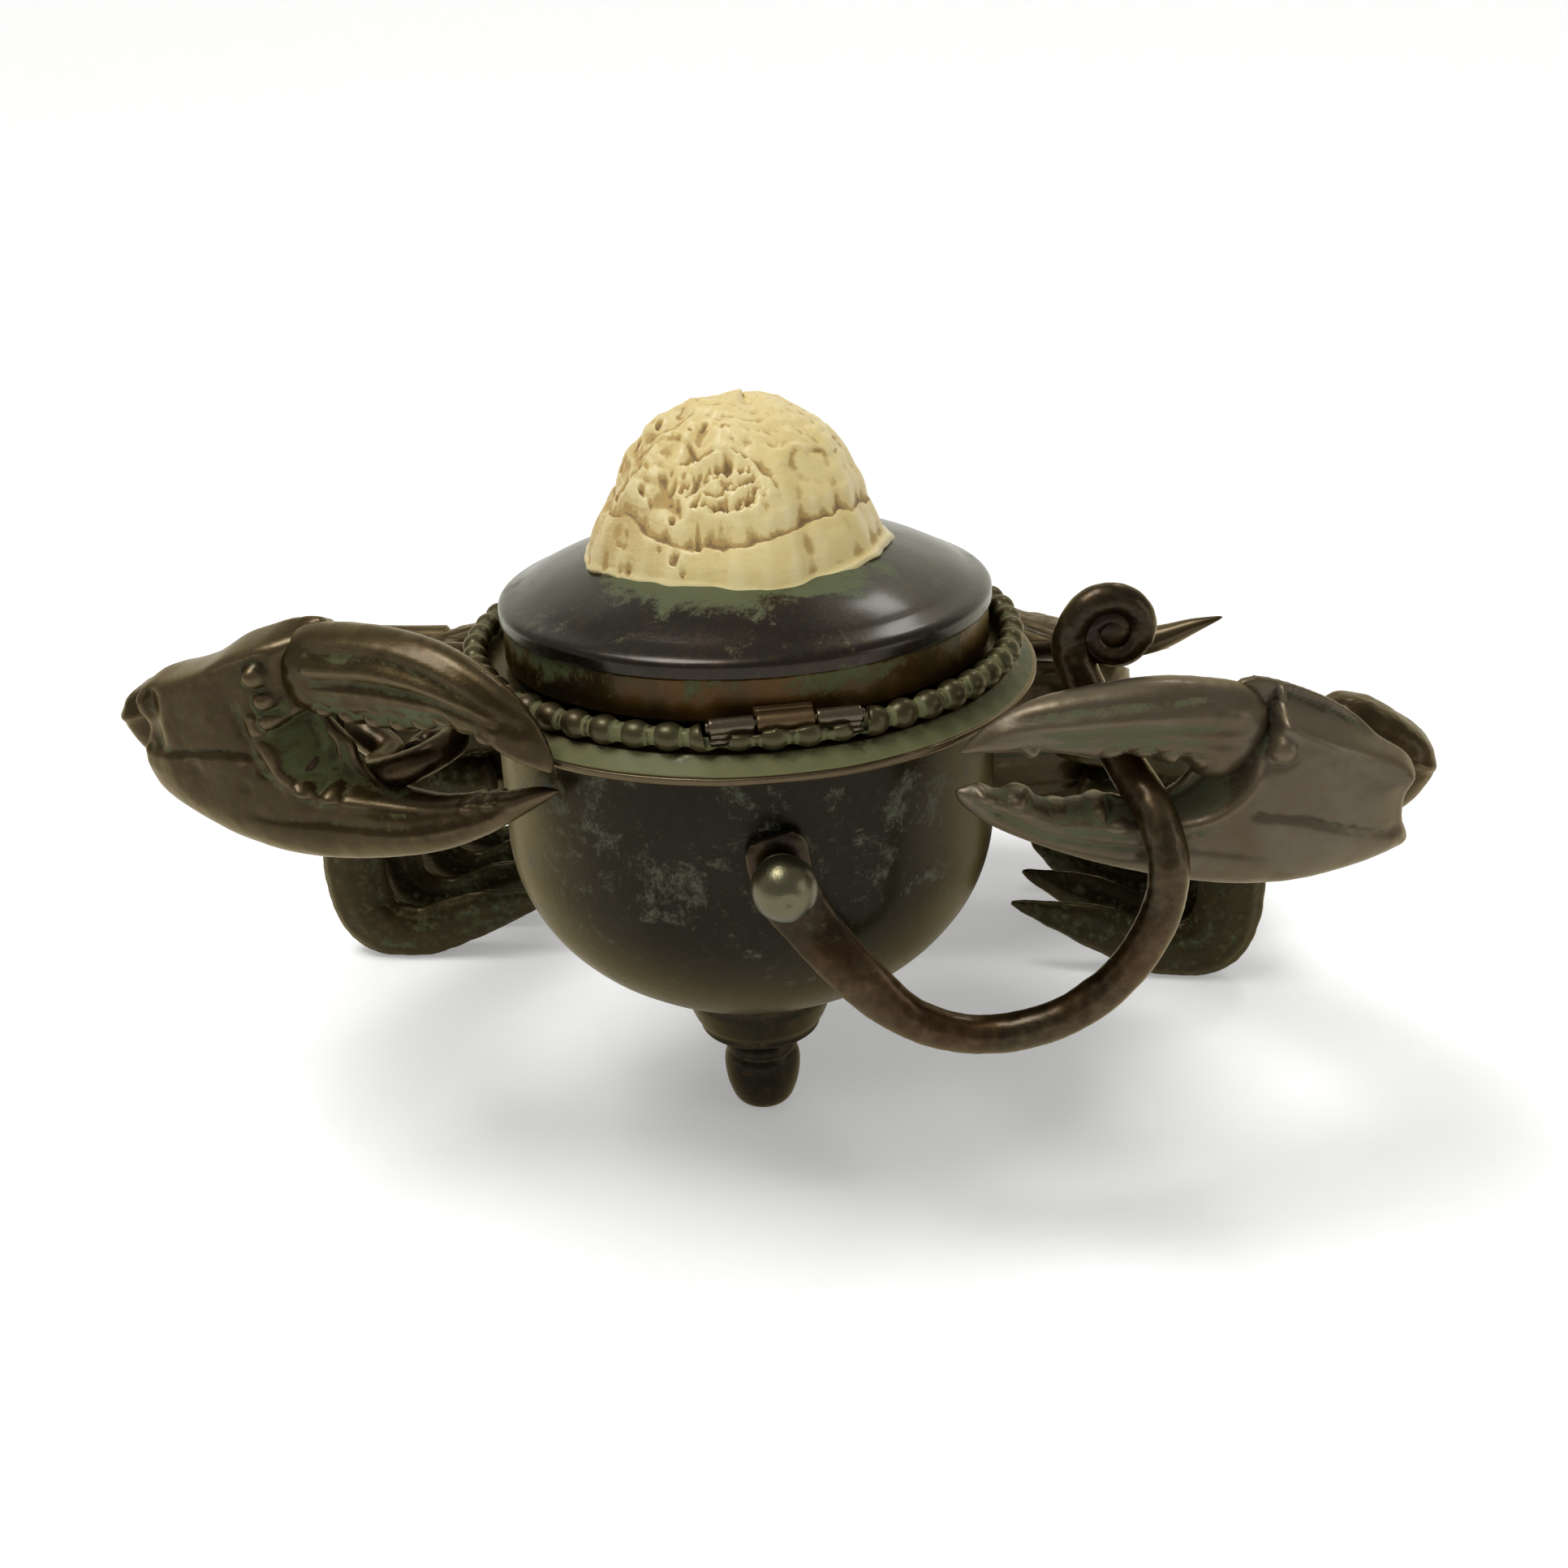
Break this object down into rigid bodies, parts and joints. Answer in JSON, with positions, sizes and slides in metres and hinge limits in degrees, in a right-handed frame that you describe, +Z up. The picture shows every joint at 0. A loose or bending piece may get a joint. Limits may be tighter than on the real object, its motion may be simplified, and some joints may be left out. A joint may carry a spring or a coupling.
{
  "type": "inkwell",
  "caption": "Bronze inkwell: a lidded round pot on a drop foot held in the claws of a crab, with hooks, a beaded rim and an oyster shell on the lid.",
  "frame": {"origin": "middle of the small flat under the drop foot, on the axis of the pot", "axes": "+Z up along the axis of the pot, +X to the right as seen from the front (the side with the lid hinge and the hook), +Y backwards to the crab body"},
  "size_m": [0.1884, 0.1458, 0.1162],
  "materials": {
    "pot_bronze": "dark polished bronze with grey-green patches",
    "green_bronze": "green patina, rubbed brown on the high points",
    "lid_bronze": "dark brown bronze, polished, green in the hollows",
    "hook_bronze": "warm brown bronze with green specks",
    "foot_bronze": "dark bronze with green in the grooves",
    "old_brass": "dulled brass",
    "hinge_bronze": "dark shiny bronze",
    "crab_bronze": "olive brown bronze, polished edges",
    "shell": "natural oyster shell, rough and layered",
    "pitch": "dark bedding compound",
    "clear_glass": "clear glass"
  },
  "bodies": {
    "stand": {"pot_bowl": "pot_bronze", "rim_flange": "green_bronze", "bead_ring": "green_bronze", "foot_collar": "foot_bronze", "foot_drop": "foot_bronze", "foot_nut": "old_brass", "hinge_pot_leaf": "hinge_bronze", "hinge_pin": "old_brass", "front_hook": "hook_bronze", "side_hook": "hook_bronze", "front_rivet": "old_brass", "front_rivet_washer": "old_brass", "side_rivet": "old_brass", "side_rivet_washer": "old_brass", "right_palm": "crab_bronze", "right_finger": "crab_bronze", "left_palm": "crab_bronze", "left_finger": "crab_bronze", "carapace": "crab_bronze", "underbody": "crab_bronze", "apron": "crab_bronze", "mouth_plates": "crab_bronze", "left_eye": "crab_bronze", "right_eye": "crab_bronze", "left_arm": "crab_bronze", "left_wrist": "crab_bronze", "right_arm": "crab_bronze", "right_wrist": "crab_bronze", "left_first_leg": "crab_bronze", "left_second_leg": "crab_bronze", "left_third_leg": "crab_bronze", "left_fourth_leg": "crab_bronze", "right_first_leg": "crab_bronze", "right_second_leg": "crab_bronze", "right_third_leg": "crab_bronze", "right_fourth_leg": "crab_bronze"},
    "lid": {"lid_shell": "lid_bronze", "lid_ring": "lid_bronze", "oyster_shell": "shell", "shell_bedding": "pitch", "shell_screw": "old_brass", "hinge_lid_leaf": "hinge_bronze"},
    "liner": {"glass_liner": "clear_glass"}
  },
  "joints": [
    {"name": "lid_hinge", "type": "hinge", "parent": "stand", "child": "lid", "pos_m": [0.01042, -0.03659, 0.0826], "axis": [0.9617, 0.274, 0], "range_deg": [0, 100]},
    {"name": "liner_lift", "type": "slide", "parent": "stand", "child": "liner", "axis": [0, 0, 1], "range_m": [0, 0.004]}
  ]
}
